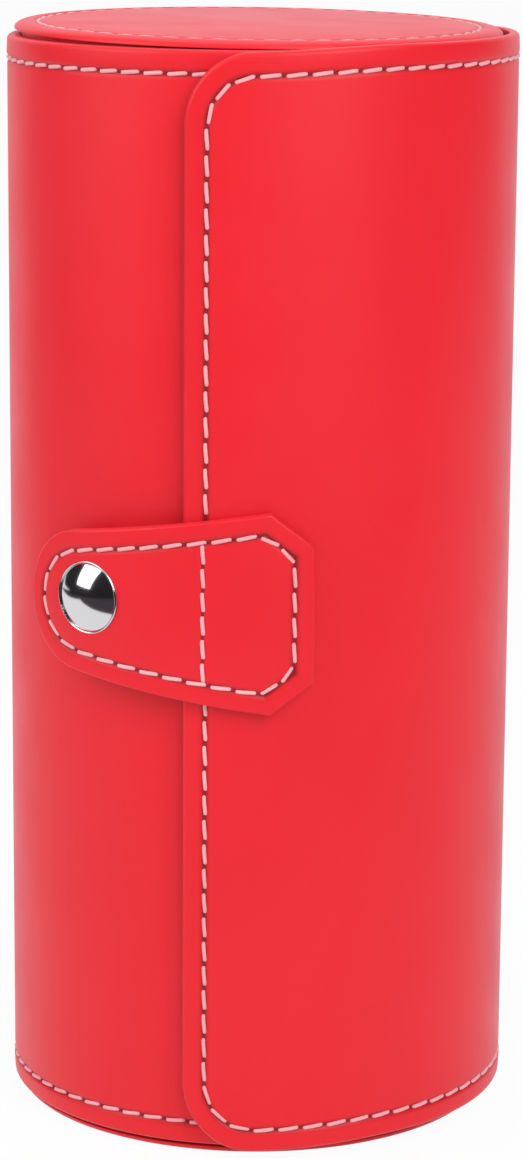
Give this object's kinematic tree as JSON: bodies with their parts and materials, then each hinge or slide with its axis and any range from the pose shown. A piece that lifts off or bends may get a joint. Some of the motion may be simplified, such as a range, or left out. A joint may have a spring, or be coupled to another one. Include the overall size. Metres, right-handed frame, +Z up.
{
  "type": "watch roll case",
  "caption": "Cylindrical leather-covered travel case for watches, with a wrap-around flap, a stud-closed tab and removable cushions in round compartments.",
  "frame": {"origin": "centre of the bottom disc's outer face, on the case's axis", "axes": "+Z up along the case's axis, -Y towards the closure tab, +X towards the mouth under the flap"},
  "size_m": [0.0879, 0.0915, 0.19],
  "materials": {
    "red_leatherette": "satin",
    "stiff_board": "matte",
    "suede_lining": "matte",
    "velvet_cover": "matte",
    "foam": "matte",
    "bright_snap": "polished",
    "spring_steel": "satin"
  },
  "bodies": {
    "case": {"fixed_cover": "red_leatherette", "fixed_board": "stiff_board", "fixed_lining": "suede_lining", "bottom_disc_cover": "red_leatherette", "bottom_disc_board": "stiff_board", "bottom_disc_lining": "suede_lining", "top_disc_cover": "red_leatherette", "top_disc_board": "stiff_board", "top_disc_lining": "suede_lining", "lower_divider": "stiff_board", "lower_divider_facings": "suede_lining", "upper_divider": "stiff_board", "upper_divider_facings": "suede_lining", "snap_stud": "bright_snap", "snap_rivet": "bright_snap"},
    "flap": {"flap_cover": "red_leatherette", "flap_board": "stiff_board", "flap_lining": "suede_lining", "tab_sewn_face": "red_leatherette", "tab_sewn_backing": "red_leatherette"},
    "tab": {"tab_face": "red_leatherette", "tab_backing": "red_leatherette", "snap_cap": "bright_snap", "snap_eyelet": "bright_snap", "snap_socket": "bright_snap", "snap_spring": "spring_steel"},
    "lower_cushion": {"lower_cushion_core": "foam", "lower_cushion_sleeve": "velvet_cover", "lower_cushion_ends": "velvet_cover"},
    "middle_cushion": {"middle_cushion_core": "foam", "middle_cushion_sleeve": "velvet_cover", "middle_cushion_ends": "velvet_cover"},
    "upper_cushion": {"upper_cushion_core": "foam", "upper_cushion_sleeve": "velvet_cover", "upper_cushion_ends": "velvet_cover"}
  },
  "joints": [
    {"name": "flap_hinge", "type": "hinge", "parent": "case", "child": "flap", "pos_m": [0.01966, 0.03858, 0.095], "axis": [0, 0, 1], "range_deg": [0, 120]},
    {"name": "tab_fold", "type": "hinge", "parent": "flap", "child": "tab", "pos_m": [-0.00867, -0.0474, 0.0962], "axis": [0, 0, 1], "range_deg": [0, 96]},
    {"name": "lower_cushion_slide", "type": "slide", "parent": "case", "child": "lower_cushion", "axis": [1, 0, 0], "range_m": [0, 0.025]},
    {"name": "middle_cushion_slide", "type": "slide", "parent": "case", "child": "middle_cushion", "axis": [1, 0, 0], "range_m": [0, 0.025]},
    {"name": "upper_cushion_slide", "type": "slide", "parent": "case", "child": "upper_cushion", "axis": [1, 0, 0], "range_m": [0, 0.025]}
  ],
  "couplings": [
    {"joint": "tab_fold", "follows": "flap_hinge", "ratio": 0.8}
  ]
}
